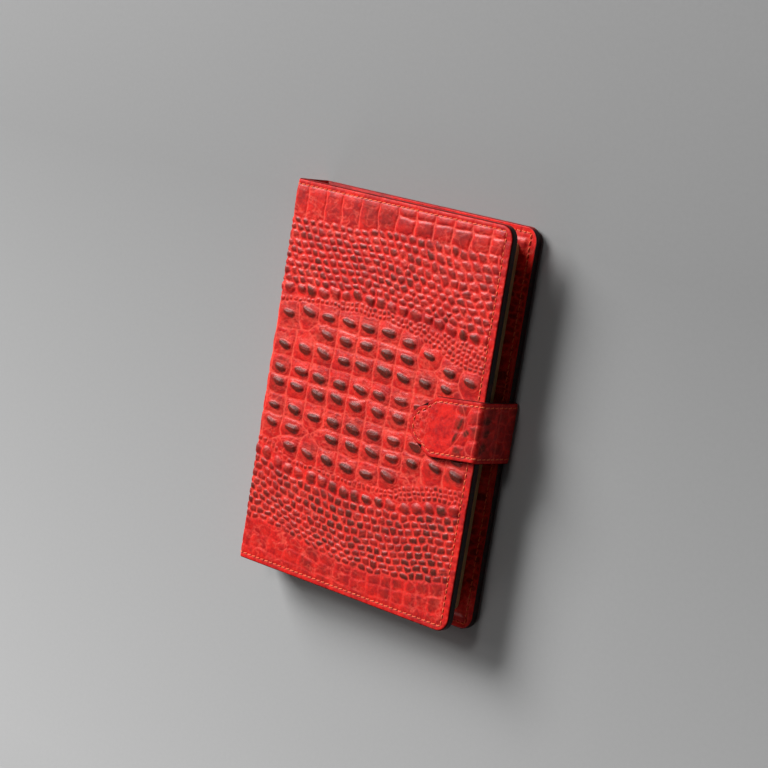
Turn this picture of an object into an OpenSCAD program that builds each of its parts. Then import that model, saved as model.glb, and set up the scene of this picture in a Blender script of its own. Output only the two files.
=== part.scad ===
// Leather notebook cover with a strap closure, closed and lying on its back cover.
// X runs from the spine to the fore-edge, Y up the page, and Z out of the front cover.
// Each cover is a sandwich: outer leather, stiffening board, lining and a pocket for the
// notebook's card. The spine is soft leather that folds where it meets each cover.
// The strap is sewn to the outside of the back cover, turns up round the fore-edge and
// lies over the front cover, where a magnet holds it.

/* [Cover] */
// Width of each cover, from the spine fold to the fore-edge
cover_w = 163; // [150:1:175]
// Height of the covers
cover_h = 220; // [200:1:235]
// Closed thickness, from the outer face of one cover to that of the other
cover_t = 24; // [20:0.5:30]
// Radius of the two corners at the fore-edge
corner_r = 8; // [6:0.5:12]
// Thickness of the outer leather
leather_t = 1.4; // [1:0.1:1.6]
// Thickness of the stiffening board
board_t = 1; // [0.9:0.1:1.5]
// Thickness of the lining
lining_t = 0.7; // [0.5:0.1:0.8]
// Thickness of the pocket's leather
pocket_t = 1.2; // [0.8:0.1:1.4]
// Width of each pocket, from the fore-edge towards the spine
pocket_w = 107; // [80:1:120]
// How far board and lining stop short of the spine's outer face
fold_w = 3; // [3:0.1:4]

/* [Stitching] */
// Distance of the seam from the top and bottom edges
seam_inset = 3; // [2.5:0.1:4]
// Distance of the seam from the fore-edge
fore_inset = 4.5; // [4:0.1:5]
// Distance from the start of one stitch to the next
stitch_pitch = 3.5; // [3:0.1:5]
// Length of one stitch
stitch_l = 2.3; // [1.5:0.1:2.6]
// Width of the thread
thread_w = 0.7; // [0.5:0.1:0.9]
// Height of a stitch over the leather
thread_h = 0.35; // [0.2:0.05:0.4]

/* [Strap] */
// Width of the strap
strap_w = 33; // [28:1:40]
// How far the strap reaches over the front cover
strap_reach = 47; // [42:1:60]
// Length of the strap's end that is sewn to the back cover
anchor_l = 42; // [36:1:55]
// Thickness of the strap's outer leather
strap_leather = 1.3; // [1.2:0.1:1.4]
// Thickness of the strap's lining
strap_lining = 1.1; // [1:0.1:1.2]
// Gap between the strap and the covers' fore-edges
side_gap = 0.6; // [0.5:0.1:1]
// Room under the strap for the raised scales of the front cover
relief_h = 1; // [0.9:0.1:1.5]
// Radius of the strap's tip
tip_r = 11; // [9:0.5:12]
// Length over which the strap narrows to its tip
taper_l = 17; // [16:0.5:22]
// How far the tongue slants down the page from the bend to its tip
tongue_slant = 5.5; // [0:0.5:9]
// Distance of the strap's seam from its edges
strap_inset = 2.6; // [2.2:0.1:3]

/* [Closure] */
// Radius of the magnet and of the steel disc that it holds
magnet_r = 7; // [5:0.5:8]
// Thickness of the magnet and of the steel disc
magnet_t = 0.7; // [0.5:0.1:0.8]

/* [Notebook] */
// Height of the pages
page_h = 202; // [170:1:204]
// How far the pages' fore-edge lies inside the covers' fore-edge
page_inset = 10; // [9:0.5:20]
// Thickness of the notebook's cards
card_t = 0.8; // [0.5:0.1:1]
// Thickness of the cloth tape on the notebook's spine
tape_t = 0.6; // [0.4:0.1:0.8]

/* [Hidden] */
$fn = 64;

// Small distances
cut = 1;               // how far a cutting solid runs past what it cuts
fit = 0.1;             // room round a disc in its recess
roll_gap = 0.3;        // room between the roll of a bend and the strap that turns about it
page_gap = 0.2;        // room between the top page and the front pocket
edge_gap = 1;          // closest that a row of stitches comes to the end of its piece
pocket_rim = 6;        // flat rim of a pocket, where it is sewn down
pocket_wall = 1.6;     // wall of the pocket round the card
card_inset = 8;        // card's edge inside the covers' edges
card_r = 3;            // card's corner radius
card_from = 5;         // card's edge from the spine's outer face
tape_from = 5.4;       // spine tape from the spine's outer face
anchor_r = 3;          // corner radius of the sewn end of the strap
anchor_cross = 12;     // second cross seam of the anchor, from the fore-edge

// Depths in a cover, from its outer face inwards
board_q = leather_t;
lining_q = board_q + board_t;
inner_q = lining_q + lining_t;
pocket_q = inner_q + card_t + pocket_t;

// Places
strap_t = strap_leather + strap_lining;
x_spine = -(cover_w + side_gap + strap_t) / 2;
x_fore = x_spine + cover_w;
x_pocket = x_fore - pocket_w;
z_back = strap_leather;
z_front = z_back + cover_t;

// The strap bends about the line between its leather and its lining
x_bend = x_fore + side_gap + strap_lining;
z_low_bend = strap_leather;
z_tip = z_front + relief_h;
z_high_bend = z_tip + strap_lining;
bend_clear = strap_leather + roll_gap;
z_side_from = z_low_bend + bend_clear;
z_side_to = z_high_bend - bend_clear;
x_tip_to = x_bend - bend_clear;
x_tip = x_fore - strap_reach;
x_round = x_tip + tip_r;
x_taper = x_tip + taper_l;
x_magnet = x_round + strap_inset;

croc_red = [0.62, 0.06, 0.06];
lining_red = [0.72, 0.08, 0.07];
board_grey = [0.35, 0.3, 0.26];
thread_orange = [0.95, 0.42, 0.3];
paper_cream = [0.9, 0.84, 0.68];
card_brown = [0.35, 0.25, 0.18];
tape_black = [0.08, 0.08, 0.08];
steel = [0.6, 0.6, 0.62];

// Middle of the slanted tongue at a distance x along the object
function y_tongue(x) = -tongue_slant * (x_tip_to - x) / (x_tip_to - x_tip);

// Where the taper touches the round tip, as an angle about the tip's centre
function tangent_turn(side, half, r) =
    let (reach = [x_taper - x_round, y_tongue(x_taper) + side * half - y_tongue(x_round)])
        atan2(reach[1], reach[0]) + side * acos(r / norm(reach));
function tangent_point(side, half, r) =
    let (turn = tangent_turn(side, half, r))
        [x_round + r * cos(turn), y_tongue(x_round) + r * sin(turn)];

// Drawn with Z as the depth from the cover's outer face
module in_back() translate([0, 0, z_back]) children();
module in_front() translate([0, 0, z_front]) mirror([0, 0, 1]) children();

// A rectangle from x_from to x_to whose two corners at x_to are round
module panel_2d(x_from, x_to, half_h, r) {
    translate([x_from, -half_h]) square([x_to - r - x_from, 2 * half_h]);
    translate([x_from, r - half_h]) square([x_to - x_from, 2 * (half_h - r)]);
    for (side = [-1, 1])
        translate([x_to - r, side * (half_h - r)]) circle(r);
}

// One layer of a cover, from depth q over thickness t
module layer(x_from, q, t)
    translate([0, 0, q]) linear_extrude(t) panel_2d(x_from, x_fore, cover_h / 2, corner_r);

// Profile drawn in X and Z, along the whole height of the covers
module along_y(length) rotate([90, 0, 0]) linear_extrude(length, center = true) children();

// Outer leather of a cover, mitred where it folds into the spine
module leather_panel() {
    past = leather_t + cut;
    difference() {
        layer(x_spine, 0, leather_t);
        translate([x_spine, 0, 0]) along_y(cover_h + 2 * cut)
            polygon([[-cut, -cut], [past, past], [-cut, past]]);
    }
}

module board_panel() layer(x_spine + fold_w, board_q, board_t);
module lining_panel() layer(x_spine + fold_w, lining_q, lining_t);

// Pocket sewn to the lining round three sides and open towards the spine
module pocket_panel() {
    room = pocket_rim + pocket_wall;
    difference() {
        union() {
            layer(x_pocket, inner_q, pocket_t);
            translate([0, 0, inner_q]) linear_extrude(card_t + pocket_t)
                panel_2d(x_pocket, x_fore - pocket_rim, cover_h / 2 - pocket_rim, card_r);
        }
        translate([0, 0, inner_q - cut]) linear_extrude(card_t + cut)
            panel_2d(x_pocket - cut, x_fore - room, cover_h / 2 - room, card_r);
    }
}

module card_panel()
    translate([0, 0, inner_q]) linear_extrude(card_t)
        panel_2d(x_spine + card_from, x_fore - card_inset, cover_h / 2 - card_inset, card_r);

// One stitch lying on the plane Z = 0, along X, grown by a margin where it cuts a slot
module stitch(margin = 0)
    translate([-stitch_l / 2, -thread_w / 2, -margin]) cube([stitch_l, thread_w, thread_h + margin]);

// Stitches evenly spaced between two points of the XY plane
module stitch_row(from, to, margin = 0) {
    run = norm(to - from);
    count = max(1, floor(run / stitch_pitch));
    turn = atan2(to[1] - from[1], to[0] - from[0]);
    for (i = [0 : count - 1])
        translate(concat(from + (to - from) * (i + 0.5) / count, [0]))
            rotate(turn) stitch(margin);
}

// Stitches evenly spaced along an arc from one angle to another
module stitch_arc(centre, r, from, to) {
    count = max(1, floor(r * abs(to - from) * PI / 180 / stitch_pitch));
    for (i = [0 : count - 1])
        let (a = from + (to - from) * (i + 0.5) / count)
            translate([centre[0] + r * cos(a), centre[1] + r * sin(a), 0])
                rotate(a + 90) stitch();
}

// The seam on one face of a cover, between x_from and the fore-edge, on three sides.
// The fore-edge row leaves out a gap of the given half width at its middle.
module cover_seam(x_from, gap = 0) {
    x_seam = x_fore - fore_inset;
    y_seam = cover_h / 2 - seam_inset;
    r = corner_r - seam_inset;
    for (side = [-1, 1]) {
        stitch_row([x_from + edge_gap, side * y_seam], [x_seam - r, side * y_seam]);
        stitch_arc([x_seam - r, side * (y_seam - r)], r, side * 90, 0);
        stitch_row([x_seam, side * (y_seam - r)], [x_seam, side * gap]);
    }
}

// Both faces of a cover's seam, with Z as the depth from the outer face
module both_faces(gap) {
    mirror([0, 0, 1]) cover_seam(x_spine + fold_w, gap);
    translate([0, 0, inner_q + pocket_t]) cover_seam(x_pocket);
    for (side = [-1, 1])
        translate([0, side * (cover_h / 2 - seam_inset), inner_q])
            stitch_row([x_spine + fold_w + edge_gap, 0], [x_pocket - edge_gap, 0]);
}

module outer_back() color(croc_red) in_back() leather_panel();
module board_back() color(board_grey) in_back() board_panel();
module lining_back() color(lining_red) in_back() lining_panel();
module pocket_back() color(croc_red) in_back() pocket_panel();
module stitching_back() color(thread_orange) in_back() both_faces(strap_w / 2 + edge_gap);

// The seam that holds the strap to the back cover, on the plane Z = 0
module anchor_seam(margin = 0) {
    y_seam = strap_w / 2 - strap_inset;
    x_end = x_fore - anchor_l + strap_inset;
    x_cross = x_fore - anchor_cross;
    for (side = [-1, 1])
        stitch_row([x_end + edge_gap, side * y_seam], [x_cross - edge_gap, side * y_seam], margin);
    for (x = [x_end, x_cross])
        stitch_row([x, edge_gap - y_seam], [x, y_seam - edge_gap], margin);
}

// Sewn end of the strap, with the roll of its lower bend and slots that hold the thread
module strap_anchor() color(croc_red) {
    difference() {
        linear_extrude(strap_leather) mirror([1, 0])
            panel_2d(-x_bend, anchor_l - x_fore, strap_w / 2, anchor_r);
        anchor_seam(cut);
    }
    translate([x_bend, 0, z_low_bend]) along_y(strap_w) circle(strap_leather);
}

module stitching_anchor() color(thread_orange) anchor_seam();

module notebook_back_card() color(card_brown) in_back() card_panel();

module page_block() color(paper_cream) {
    from = x_spine + tape_from + tape_t;
    low = z_back + pocket_q;
    translate([from, -page_h / 2, low])
        cube([x_fore - page_inset - from, page_h, z_front - pocket_q - page_gap - low]);
}

// Cloth tape that holds the pages to the back card
module notebook_spine_tape() color(tape_black) {
    low = z_back + inner_q + card_t;
    translate([x_spine + tape_from, -page_h / 2, low])
        cube([tape_t, page_h, z_front - pocket_q - page_gap - low]);
}

module outer_spine() color(croc_red)
    translate([x_spine, 0, z_back]) along_y(cover_h)
        polygon([[0, 0], [leather_t, leather_t], [leather_t, cover_t - leather_t], [0, cover_t]]);

module lining_spine() color(lining_red) {
    low = leather_t + fit * 2;
    translate([x_spine + leather_t, -cover_h / 2, z_back + low])
        cube([lining_t, cover_h, cover_t - 2 * low]);
}

// A row along Z at each end of the spine, on its outer face and on its lining
module stitching_spine() color(thread_orange) {
    low = z_back + fold_w;
    high = z_front - fold_w;
    for (side = [-1, 1])
        translate([0, side * (cover_h / 2 - seam_inset), 0]) {
            translate([x_spine, 0, 0]) rotate([0, -90, 0])
                stitch_row([low, 0], [high, 0]);
            translate([x_spine + leather_t + lining_t, 0, 0]) rotate([0, 90, 0])
                stitch_row([-high, 0], [-low, 0]);
        }
}

module outer_front() color(croc_red) in_front() leather_panel();
module lining_front() color(lining_red) in_front() lining_panel();
module pocket_front() color(croc_red) in_front() pocket_panel();
module stitching_front() color(thread_orange) in_front() both_faces(0);
module notebook_front_card() color(card_brown) in_front() card_panel();

// Board of the front cover, recessed for the steel disc under the outer leather
module board_front() color(board_grey) in_front() difference() {
    board_panel();
    translate([x_magnet, y_tongue(x_magnet), board_q - cut]) cylinder(r = magnet_r + fit, h = magnet_t + cut);
}

module front_keeper() color(steel) in_front()
    translate([x_magnet, y_tongue(x_magnet), board_q]) cylinder(r = magnet_r, h = magnet_t);

// Part of the strap that stands along the fore-edge, with the roll of its upper bend
module strap_side_outer() color(croc_red) {
    translate([x_bend, -strap_w / 2, z_side_from])
        cube([strap_leather, strap_w, z_high_bend - z_side_from]);
    translate([x_bend, 0, z_high_bend]) along_y(strap_w) circle(strap_leather);
}

module strap_side_lining() color(lining_red)
    translate([x_bend - strap_lining, -strap_w / 2, z_side_from])
        cube([strap_lining, strap_w, z_side_to - z_side_from]);

// Two rows along Z on the outer face of the strap's side and two on its lining
module stitching_strap_side() color(thread_orange)
    for (side = [-1, 1])
        translate([0, side * (strap_w / 2 - strap_inset), 0]) {
            translate([x_bend + strap_leather, 0, 0]) rotate([0, 90, 0])
                stitch_row([-z_side_to, 0], [-z_side_from, 0]);
            translate([x_bend - strap_lining, 0, 0]) rotate([0, -90, 0])
                stitch_row([z_side_from, 0], [z_side_to, 0]);
        }

// The tongue: straight sides, then straight tapers tangent to a round tip
module tongue_2d() {
    half = strap_w / 2;
    translate([x_round, y_tongue(x_round)]) circle(tip_r);
    polygon([
        [x_tip_to, -half], [x_tip_to, half], [x_taper, y_tongue(x_taper) + half],
        tangent_point(1, half, tip_r), tangent_point(-1, half, tip_r),
        [x_taper, y_tongue(x_taper) - half]
    ]);
}

// Seam round the tongue, parallel to its edge, on the plane Z = 0
module tongue_seam() {
    half = strap_w / 2 - strap_inset;
    r = tip_r - strap_inset;
    x_from = x_tip_to - edge_gap;
    x_side = x_taper + edge_gap;
    x_turn = x_taper - edge_gap;
    for (side = [-1, 1]) {
        stitch_row([x_from, y_tongue(x_from) + side * half], [x_side, y_tongue(x_side) + side * half]);
        stitch_row([x_turn, y_tongue(x_turn) + side * (half - edge_gap / 2)],
                   tangent_point(side, half, r));
    }
    stitch_arc([x_round, y_tongue(x_round)], r,
               tangent_turn(1, half, r), 360 + tangent_turn(-1, half, r));
}

module strap_tip_outer() color(croc_red)
    translate([0, 0, z_high_bend]) linear_extrude(strap_leather) tongue_2d();

// Lining of the tongue, recessed for the magnet under the outer leather
module strap_tip_lining() color(lining_red) difference() {
    translate([0, 0, z_tip]) linear_extrude(strap_lining) tongue_2d();
    translate([x_magnet, y_tongue(x_magnet), z_high_bend - magnet_t])
        cylinder(r = magnet_r + fit, h = magnet_t + cut);
}

module stitching_strap_tip() color(thread_orange) {
    translate([0, 0, z_high_bend + strap_leather]) tongue_seam();
    translate([0, 0, z_tip]) mirror([0, 0, 1]) tongue_seam();
}

module strap_magnet() color(steel)
    translate([x_magnet, y_tongue(x_magnet), z_high_bend - magnet_t])
        cylinder(r = magnet_r, h = magnet_t);

outer_back();
board_back();
lining_back();
pocket_back();
stitching_back();
strap_anchor();
stitching_anchor();
notebook_back_card();
page_block();
notebook_spine_tape();
outer_spine();
lining_spine();
stitching_spine();
outer_front();
board_front();
lining_front();
pocket_front();
stitching_front();
front_keeper();
notebook_front_card();
strap_side_outer();
strap_side_lining();
stitching_strap_side();
strap_tip_outer();
strap_tip_lining();
stitching_strap_tip();
strap_magnet();
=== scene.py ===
import math

import bmesh
import bpy
import numpy as np
from mathutils import Matrix, Vector


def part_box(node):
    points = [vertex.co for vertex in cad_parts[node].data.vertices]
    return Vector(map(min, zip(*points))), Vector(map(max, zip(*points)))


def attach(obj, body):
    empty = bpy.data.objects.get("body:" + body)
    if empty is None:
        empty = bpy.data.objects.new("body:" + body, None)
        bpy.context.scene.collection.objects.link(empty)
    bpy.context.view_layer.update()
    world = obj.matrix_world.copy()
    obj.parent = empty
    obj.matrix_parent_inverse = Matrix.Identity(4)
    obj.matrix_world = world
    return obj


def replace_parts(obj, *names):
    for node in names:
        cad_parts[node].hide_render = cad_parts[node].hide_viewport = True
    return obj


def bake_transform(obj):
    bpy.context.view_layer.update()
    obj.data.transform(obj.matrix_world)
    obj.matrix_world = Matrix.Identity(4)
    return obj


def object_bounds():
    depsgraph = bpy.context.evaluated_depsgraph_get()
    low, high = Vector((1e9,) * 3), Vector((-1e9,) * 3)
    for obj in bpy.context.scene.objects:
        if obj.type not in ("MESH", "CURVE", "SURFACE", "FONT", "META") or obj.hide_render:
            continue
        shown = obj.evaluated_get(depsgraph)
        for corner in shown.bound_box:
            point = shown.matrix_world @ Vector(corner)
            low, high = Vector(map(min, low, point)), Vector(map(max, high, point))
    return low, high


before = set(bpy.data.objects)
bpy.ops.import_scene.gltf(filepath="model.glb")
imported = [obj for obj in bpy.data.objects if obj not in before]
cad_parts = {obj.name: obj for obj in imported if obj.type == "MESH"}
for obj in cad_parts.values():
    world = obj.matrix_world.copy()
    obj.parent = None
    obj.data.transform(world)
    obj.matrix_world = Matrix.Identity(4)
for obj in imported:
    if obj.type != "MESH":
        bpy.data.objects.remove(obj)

# The looks of a crocodile-embossed leather notebook cover, closed, lying on its back cover.
# Everything is in metres in the frame. The hide's pattern is laid out on a flat map:
# u runs across the hide, from 0 at the front cover's spine fold to its fore-edge and, below 0,
# round the spine and over the back cover; v runs up the page from the bottom edge.

CAD_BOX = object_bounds()
MM = 0.001
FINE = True


# ---------------------------------------------------------------- sizes from the frame

def low(node):
    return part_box(node)[0]


def high(node):
    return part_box(node)[1]


X_SPINE, X_FORE = low("outer_front").x, high("outer_front").x
HALF_H = high("outer_front").y
Z_BACK, Z_FRONT = low("outer_back").z, high("outer_front").z
X_POCKET = low("pocket_back").x
LEATHER_Q = high("outer_back").z - Z_BACK
LINING_Q = low("lining_back").z - Z_BACK
INNER_Q = high("lining_back").z - Z_BACK
CARD_Q = high("notebook_back_card").z - Z_BACK
POCKET_Q = high("pocket_back").z - Z_BACK
RIM_Q = INNER_Q + POCKET_Q - CARD_Q
SPINE_Q = high("lining_spine").x - X_SPINE
X_BOARD = low("lining_back").x
COVER_W = X_FORE - X_SPINE
COVER_H = 2 * HALF_H
COVER_T = Z_FRONT - Z_BACK

STRAP_HALF = high("strap_side_outer").y
X_TIP = low("strap_tip_outer").x
X_HINGE = high("strap_tip_outer").x
X_ANCHOR = low("strap_anchor").x
X_OUT = high("strap_side_outer").x
Z_STRAP_LOW = low("strap_anchor").z
Z_STRAP_TOP = high("strap_tip_outer").z
STRAP_T = X_OUT - low("strap_side_lining").x
ANCHOR_T = Z_BACK - Z_STRAP_LOW
STRAP_GAP = low("strap_tip_lining").z - Z_FRONT

CORNER_R = 8 * MM
FOLD_R = 2 * MM
STRAP_R = 3 * MM
SEAM_INSET = 3 * MM
FORE_INSET = 4.5 * MM
STRAP_INSET = 2.6 * MM
STITCH_PITCH = 3.5 * MM
STITCH_L = 2.9 * MM
STITCH_TURN = 0.14
AHEAD = 0.05 * MM
STRAP_CORNER = 3 * MM
LINING_INSET = 0.45 * MM
SQUEEZE = 12 * MM
POCKET_RIM = 6 * MM
TIP_R = 11 * MM
TAPER_L = 17 * MM
FOLD_ARC = FOLD_R * math.pi / 2
MAGNET = (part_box("strap_magnet")[0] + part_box("strap_magnet")[1]) / 2
SLANT = MAGNET.y / (X_HINGE - MAGNET.x)
U_MID = FOLD_R - FOLD_ARC - (COVER_T / 2 - FOLD_R)


# ---------------------------------------------------------------- small helpers

def smooth(x, edge_a, edge_b):
    """0 at edge_a and 1 at edge_b, with an easy slope between them."""
    t = np.clip((x - edge_a) / (edge_b - edge_a), 0, 1)
    return t * t * (3 - 2 * t)


def curve(*points):
    """A smooth function of u in millimetres through given points (u, v)."""
    us = np.array([p[0] for p in points], float)
    vs = np.array([p[1] for p in points], float)

    def at(u):
        nearby = np.asarray(u, float)[..., None] + np.linspace(-5, 5, 5)
        return np.interp(nearby, us, vs).mean(-1)
    return at


def noise(u, v, cell, seed):
    """Smooth noise from -1 to 1 whose features are about one cell wide."""
    size = 128
    lattice = np.random.default_rng(seed).uniform(-1, 1, (size, size))
    x, y = u / cell, v / cell
    i, j = np.floor(x).astype(int), np.floor(y).astype(int)
    fx, fy = x - i, y - j
    fx, fy = fx * fx * (3 - 2 * fx), fy * fy * (3 - 2 * fy)
    i, j, i2, j2 = i % size, j % size, (i + 1) % size, (j + 1) % size
    left = lattice[i, j] * (1 - fy) + lattice[i, j2] * fy
    right = lattice[i2, j] * (1 - fy) + lattice[i2, j2] * fy
    return left * (1 - fx) + right * fx


def turned(x, y, angle):
    """The vector (x, y) turned by an angle."""
    c, s = math.cos(angle), math.sin(angle)
    return c * x - s * y, s * x + c * y


def bell(x, width):
    return np.exp(-(x / width) ** 2)


def mottle(u, v, cell, seed):
    """Three octaves of noise, from about -1 to 1."""
    return (noise(u, v, cell, seed) + 0.5 * noise(u, v, cell / 2.1, seed + 1)
            + 0.25 * noise(u, v, cell / 4.3, seed + 2)) / 1.4


# ---------------------------------------------------------------- the pattern of the hide

# The maps are in millimetres. A cell is one scale of the hide:
# its place, half sizes and turn, how high it stands, how domed it is, how dark its top is
# dyed, how much of it is dyed and how light the crease round it is.
# The light crease lines are partly the grooves' lighter colour and partly painted glints.
MAP_STEP = 0.25 if FINE else 0.5
U, V, A, B, TURN, LIFT, DOME, INK, SPREAD, LINE = range(10)


class Map:
    """A raster of the flat hide that scales are pressed into."""

    def __init__(self, u_from, u_to, v_from, v_to):
        self.u_from, self.v_from = u_from, v_from
        self.nu = int((u_to - u_from) / MAP_STEP) + 1
        self.nv = int((v_to - v_from) / MAP_STEP) + 1
        self.u = (u_from + MAP_STEP * np.arange(self.nu))[None, :].repeat(self.nv, 0)
        self.v = (v_from + MAP_STEP * np.arange(self.nv))[:, None].repeat(self.nu, 1)
        self.layers = {}

    def window(self, u, v, reach):
        i0 = max(0, int((u - reach - self.u_from) / MAP_STEP))
        i1 = min(self.nu, int((u + reach - self.u_from) / MAP_STEP) + 2)
        j0 = max(0, int((v - reach - self.v_from) / MAP_STEP))
        j1 = min(self.nv, int((v + reach - self.v_from) / MAP_STEP) + 2)
        return slice(j0, j1), slice(i0, i1)

    def nearest(self, cells, bend):
        """For each point, how far out it is in its own scale and in the next one."""
        first = np.full(self.u.shape, 9.0)
        second = np.full(self.u.shape, 9.0)
        owner = np.zeros(self.u.shape, int)
        wu = self.u + bend * noise(self.u, self.v, 5, 71) + 0.4 * bend * noise(self.u, self.v, 2, 73)
        wv = self.v + bend * noise(self.u, self.v, 5, 72) + 0.4 * bend * noise(self.u, self.v, 2, 74)
        for k, cell in enumerate(cells):
            where = self.window(cell[U], cell[V], 2.6 * max(cell[A], cell[B]))
            du, dv = wu[where] - cell[U], wv[where] - cell[V]
            x, y = turned(du, dv, -cell[TURN])
            x, y = np.abs(x) / cell[A], np.abs(y) / cell[B]
            power = 4.6 - 2.3 * cell[DOME]
            d = (x ** power + y ** power) ** (1 / power)
            f, g = first[where], second[where]
            closer = d < f
            second[where] = np.where(closer, f, np.minimum(g, d))
            first[where] = np.where(closer, d, f)
            owner[where] = np.where(closer, k, owner[where])
        return first, second, owner

    def sample(self, name, u, v):
        """The layer's value at points of the hide given in metres."""
        layer = self.layers[name]
        x = np.clip((u / MM - self.u_from) / MAP_STEP, 0, self.nu - 1.001)
        y = np.clip((v / MM - self.v_from) / MAP_STEP, 0, self.nv - 1.001)
        i, j = x.astype(int), y.astype(int)
        fx, fy = x - i, y - j
        return ((layer[j, i] * (1 - fx) + layer[j, i + 1] * fx) * (1 - fy)
                + (layer[j + 1, i] * (1 - fx) + layer[j + 1, i + 1] * fx) * fy)


def press_cells(hide, cells, bend, line_w):
    """Height, ink and crease of a map full of scales. The light crease lines are partly painted glints."""
    cells = np.array(cells)
    first, second, owner = hide.nearest(cells, bend)
    size = np.sqrt(cells[:, A] * cells[:, B])[owner]
    lift, dome, ink, spread, line = (cells[owner, k] for k in (LIFT, DOME, INK, SPREAD, LINE))
    gap = (second - first) * size / 2
    slope_w = np.clip(0.46 * size, 0.5, 1.5)
    pillow = smooth(gap, 0, slope_w)
    crown = np.clip(1 - 0.85 * first ** 2, 0, 1)
    shape = pillow * ((1 - dome) * (0.72 + 0.28 * crown) + dome * crown ** 0.8)
    rough = mottle(hide.u, hide.v, 2.2, 11)
    cap = pillow * (0.5 + 0.5 * crown) + 0.2 * rough
    dyed = ink * smooth(cap, 0.9 - spread, 1.36 - 0.55 * spread)
    return lift * shape, dyed, line * bell(gap, line_w)


ZONE_TOP = curve((-183, 139), (-150, 147), (-120, 151), (-60, 153), (-22, 151), (0, 149), (10, 150),
                 (30, 153), (90, 153), (107, 150), (122, 146), (140, 140), (155, 138), (162, 138))
ZONE_LOW = curve((-183, 79), (-150, 72), (-120, 66), (-60, 65), (-22, 70), (0, 73), (8, 73), (25, 66),
                 (40, 65.5), (60, 64.5), (90, 64.5), (107, 67), (122, 72), (140, 76), (162, 78))
BUMP_TOP = curve((-183, 156), (-120, 162), (-60, 163), (-22, 160), (0, 159), (28, 160), (60, 163.5),
                 (92, 162.5), (117, 161), (128, 159), (140, 158.3), (162, 158.5))
BUMP_LOW = curve((-183, 64), (-120, 57), (-60, 56), (-22, 63), (0, 65), (10, 63), (23, 58.5), (60, 56),
                 (88, 55.2), (108, 57), (118, 57), (127, 59), (135, 61.5), (162, 66))
BAND_TOP = curve((-183, 199), (-60, 199), (0, 199), (55, 200), (78, 203), (110, 203.5), (162, 203))
BAND_LOW = curve((-183, 25), (-120, 21), (-60, 20), (-22, 24), (0, 24.5), (20, 25), (40, 22), (60, 20),
                 (80, 17.5), (105, 17.5), (125, 20), (140, 23), (162, 27))
U_FROM, U_TO = -187.0, 165.0
TILE_PITCH = 15.7
TILE_FROM = 9.5
TILE_B = 5.6
KEEL_ROWS = (127, 113.5, 104.5, 91.5)
KEEL_A, KEEL_B, KEEL_LIFT = 5.8, 2.7, 1.5
BUMP_H = 5.6
BUMP_ROOM = 2.9
TALL_W = 13.9
TALL_FROM = 10.5 - 15 * TALL_W


def row(cells, rng, centre, height, pitch, shift, look, wander=0.0, turn=0.0, aspect=1.0):
    """A row of scales along the line centre(u). look(u) is (lift, dome, ink, spread, line)."""
    u = U_FROM + shift * pitch(U_FROM)
    grow = math.sqrt(aspect)
    while u < U_TO:
        w = pitch(u)
        m = u + w * (0.5 + 0.11 * rng.uniform(-1, 1))
        h = height(m)
        slope = math.atan((centre(m + 2) - centre(m - 2)) / 4)
        lift, dome, ink, spread, line = look(m)
        cells.append([m, centre(m) + wander * rng.uniform(-1, 1), w / 2 * grow * rng.uniform(0.86, 1.12),
                      h / 2 / grow * rng.uniform(0.88, 1.1), slope + turn + 0.14 * rng.uniform(-1, 1),
                      lift * rng.uniform(0.8, 1.15), dome, ink * rng.uniform(0.55, 1.15),
                      spread * rng.uniform(0.88, 1.1), line * rng.uniform(0.5, 1.1)])
        u += w


def field(cells, rng, lower, upper, pitch, look, sag, sag_u, sag_w, turn, aspect):
    """Nine rows of small scales that fan out between two lines and sag round sag_u."""
    count = 9
    for k in range(count):
        t = (k + 0.5) / count

        def centre(u, t=t):
            return lower(u) + (upper(u) - lower(u)) * t - sag * bell(u - sag_u, sag_w) * 4 * t * (1 - t)

        def height(u):
            return (upper(u) - lower(u)) / count
        row(cells, rng, centre, height, pitch, 0.5 * (k % 2), look, 0.35, turn, aspect)


def beads(cells, rng, zone, bumps, sign):
    """Tiny beads between the zone of keels and the row of bumps."""
    pitch, height = 3.3, 2.7
    for k in range(9):
        u = U_FROM + 1.6 * (k % 2)
        while u < U_TO:
            w = pitch * rng.uniform(0.8, 1.25)
            m = u + w / 2
            v = zone(m) + sign * (1.2 + height * (k + 0.5)) + 0.35 * rng.uniform(-1, 1)
            if sign * (bumps(m) - v) > BUMP_ROOM + 0.5 * height:
                cells.append([m, v, w / 2, height / 2 * rng.uniform(0.9, 1.15), 0.3 * rng.uniform(-1, 1),
                              0.42 * rng.uniform(0.6, 1.2), 1.0, 0.75 * rng.uniform(0.3, 1.2), 0.62, 0.6])
            u += w


def lay_fields(cells, rng):
    """The small scales above and below the keels, with their rows of bumps and beads."""
    def upper_look(u):
        right = smooth(abs(u + 10.7), 70, 135)
        return 0.62, 1.0 - 0.35 * right, 0.9, 0.76 + 0.06 * right, 0.4 + 0.15 * right

    def upper_from(u):
        return BUMP_TOP(u) + BUMP_ROOM

    def upper_pitch(u):
        return 5.9 + 0.7 * smooth(u, 60, 140)

    def lower_look(u):
        return 0.55, 0.8, 0.9, 0.88, 0.75

    def lower_to(u):
        return BUMP_LOW(u) - BUMP_ROOM

    def bump_look(u):
        return 1.05, 1.05, 0.95, 0.66, 0.3

    field(cells, rng, upper_from, BAND_TOP, upper_pitch, upper_look, 4.5, 121, 32, -0.45, 1.15)
    field(cells, rng, BAND_LOW, lower_to, lambda u: 6.2, lower_look, 3.5, 62, 45, -0.15, 1.05)
    for line, pitch, shift in ((BUMP_TOP, 8.9, 0.3), (BUMP_LOW, 9.1, 0.1)):
        row(cells, rng, line, lambda u: BUMP_H, lambda u: pitch, shift, bump_look, 0.5, -0.3, 0.86)
    beads(cells, rng, ZONE_TOP, BUMP_TOP, 1)
    beads(cells, rng, ZONE_LOW, BUMP_LOW, -1)


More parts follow.
